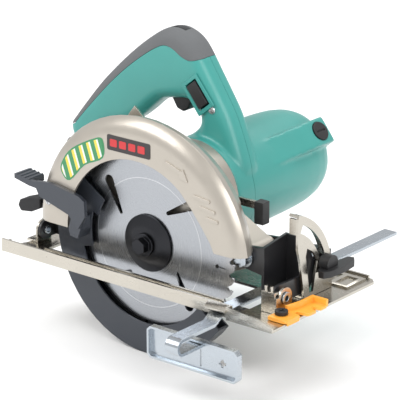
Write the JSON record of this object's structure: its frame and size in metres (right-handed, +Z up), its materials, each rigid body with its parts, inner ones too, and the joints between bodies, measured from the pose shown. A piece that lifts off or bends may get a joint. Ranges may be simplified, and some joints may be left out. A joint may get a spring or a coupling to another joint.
{
  "type": "circular saw",
  "caption": "Hand-held circular saw: blade under a fixed case and a sprung lower guard, side motor, loop handle, base that tilts and sets depth, and a sliding rip guide.",
  "frame": {"origin": "on the underside of the base (the sole), below and to the left of the blade's centre", "axes": "+X the way the saw cuts, +Y to the saw's left (the motor side), +Z up, normal to the sole"},
  "size_m": [0.295, 0.2728, 0.2406],
  "materials": {
    "nickel_steel": "bright nickel-plated pressed steel",
    "zinc_steel": "zinc-plated steel",
    "black_steel": "satin black painted steel",
    "cast_metal": "painted die casting, warm metallic",
    "guard_metal": "dark slate painted steel",
    "blade_steel": "ground steel",
    "machined_steel": "turned steel",
    "teal_plastic": "teal satin plastic",
    "grey_rubber": "moulded soft grip",
    "black_plastic": "black plastic",
    "black_rubber": "black rubber",
    "orange_plastic": "orange plastic",
    "copper": "enamelled copper",
    "laminated_iron": "laminated iron",
    "carbon": "carbon",
    "clear": "clear lens"
  },
  "bodies": {
    "base": {"base_plate": "nickel_steel", "bevel_quadrant": "nickel_steel", "front_pivot_ear": "nickel_steel", "rear_pivot_ear": "nickel_steel", "front_pivot_pin": "zinc_steel", "rear_pivot_pin": "zinc_steel", "sight_guide": "orange_plastic", "sight_guide_screw": "black_plastic"},
    "rip_guide": {"guide_bar": "zinc_steel", "fence_plate": "zinc_steel"},
    "guide_knob_body": {"guide_knob": "black_plastic"},
    "tilt_frame": {"front_bracket": "black_steel", "rear_bracket": "black_steel", "depth_link": "nickel_steel", "bevel_bolt": "zinc_steel", "depth_pivot_bolt": "zinc_steel"},
    "bevel_lever_body": {"bevel_lever": "black_steel"},
    "saw": {"blade_case": "cast_metal", "gear_housing": "cast_metal", "motor_bracket": "cast_metal", "guard_bearing_ring": "machined_steel", "guard_spring": "machined_steel", "light_module": "black_plastic", "light_lens": "clear", "spindle_bearing": "machined_steel", "motor_bearing_front": "machined_steel", "motor_bearing_rear": "machined_steel", "handle_cover": "teal_plastic", "motor_housing": "teal_plastic", "soft_grip": "grey_rubber", "switch_bezel": "teal_plastic", "cord_gland": "black_rubber", "stator_core": "laminated_iron", "field_coil_upper": "copper", "field_coil_lower": "copper", "brush_front": "carbon", "brush_rear": "carbon", "brush_cap_front": "black_plastic", "brush_cap_rear": "black_plastic", "depth_clamp_stud": "zinc_steel"},
    "depth_lever_body": {"depth_lever": "black_steel", "depth_lever_knob": "black_rubber"},
    "armature": {"armature_shaft": "machined_steel", "fan": "black_plastic", "armature_core": "laminated_iron", "armature_winding": "copper", "commutator": "copper"},
    "spindle_body": {"spindle": "machined_steel", "drive_gear": "machined_steel", "inner_flange": "machined_steel", "blade": "blade_steel", "outer_flange": "black_steel", "blade_bolt": "black_steel"},
    "guard": {"lower_guard": "guard_metal", "guard_lever": "guard_metal"},
    "shaft_lock_body": {"shaft_lock": "nickel_steel", "shaft_lock_cap": "black_plastic"},
    "trigger_body": {"trigger": "black_plastic"},
    "light_switch_body": {"light_switch": "black_plastic"},
    "lock_button_body": {"lock_button": "black_plastic"}
  },
  "joints": [
    {"name": "rip_guide_slide", "type": "slide", "parent": "base", "child": "rip_guide", "axis": [0, 1, 0], "range_m": [-0.09, 0.002]},
    {"name": "guide_knob_turn", "type": "hinge", "parent": "base", "child": "guide_knob_body", "pos_m": [0.0923, 0.041, 0.0124], "axis": [0, 0, 1], "range_deg": [-90, 90]},
    {"name": "bevel", "type": "hinge", "parent": "base", "child": "tilt_frame", "pos_m": [0, -0.043, 0.0122], "axis": [1, 0, 0], "range_deg": [0, 45]},
    {"name": "bevel_lever_turn", "type": "hinge", "parent": "tilt_frame", "child": "bevel_lever_body", "pos_m": [0.128, 0.00636, 0.02543], "axis": [1, 0, 0], "range_deg": [0, 60]},
    {"name": "depth", "type": "hinge", "parent": "tilt_frame", "child": "saw", "pos_m": [0.084, -0.025, 0.0319], "axis": [0, 1, 0], "range_deg": [0, 32]},
    {"name": "depth_lever_turn", "type": "hinge", "parent": "saw", "child": "depth_lever_body", "pos_m": [-0.05167, -0.025, 0.04139], "axis": [0, 1, 0], "range_deg": [0, 30]},
    {"name": "blade_spin", "type": "hinge", "parent": "saw", "child": "spindle_body", "pos_m": [0, -0.045, 0.0264], "axis": [0, 1, 0], "continuous": true},
    {"name": "armature_spin", "type": "hinge", "parent": "saw", "child": "armature", "pos_m": [0.012, 0.055, 0.05861], "axis": [0, 1, 0], "continuous": true},
    {"name": "guard_turn", "type": "hinge", "parent": "saw", "child": "guard", "pos_m": [0, -0.045, 0.0264], "axis": [0, 1, 0], "range_deg": [0, 100], "stiffness_Nm_per_rad": 0.12, "springref_deg": -91.67},
    {"name": "shaft_lock_push", "type": "slide", "parent": "saw", "child": "shaft_lock_body", "axis": [-1, 0, 0], "range_m": [0, 0.004], "stiffness_N_per_m": 900, "springref_m": -0.003},
    {"name": "trigger_pull", "type": "slide", "parent": "saw", "child": "trigger_body", "axis": [-0.64, 0, 0.7684], "range_m": [0, 0.004], "stiffness_N_per_m": 800, "springref_m": -0.003},
    {"name": "light_switch_rock", "type": "hinge", "parent": "saw", "child": "light_switch_body", "pos_m": [0.0093, 0.002, 0.1334], "axis": [0.7771, 0, 0.6293], "range_deg": [-7, 7]},
    {"name": "lock_button_push", "type": "slide", "parent": "saw", "child": "lock_button_body", "axis": [0, 0, -1], "range_m": [0, 0.0025], "stiffness_N_per_m": 600, "springref_m": -0.002}
  ],
  "couplings": [
    {"joint": "armature_spin", "follows": "blade_spin", "ratio": -1.8947}
  ]
}
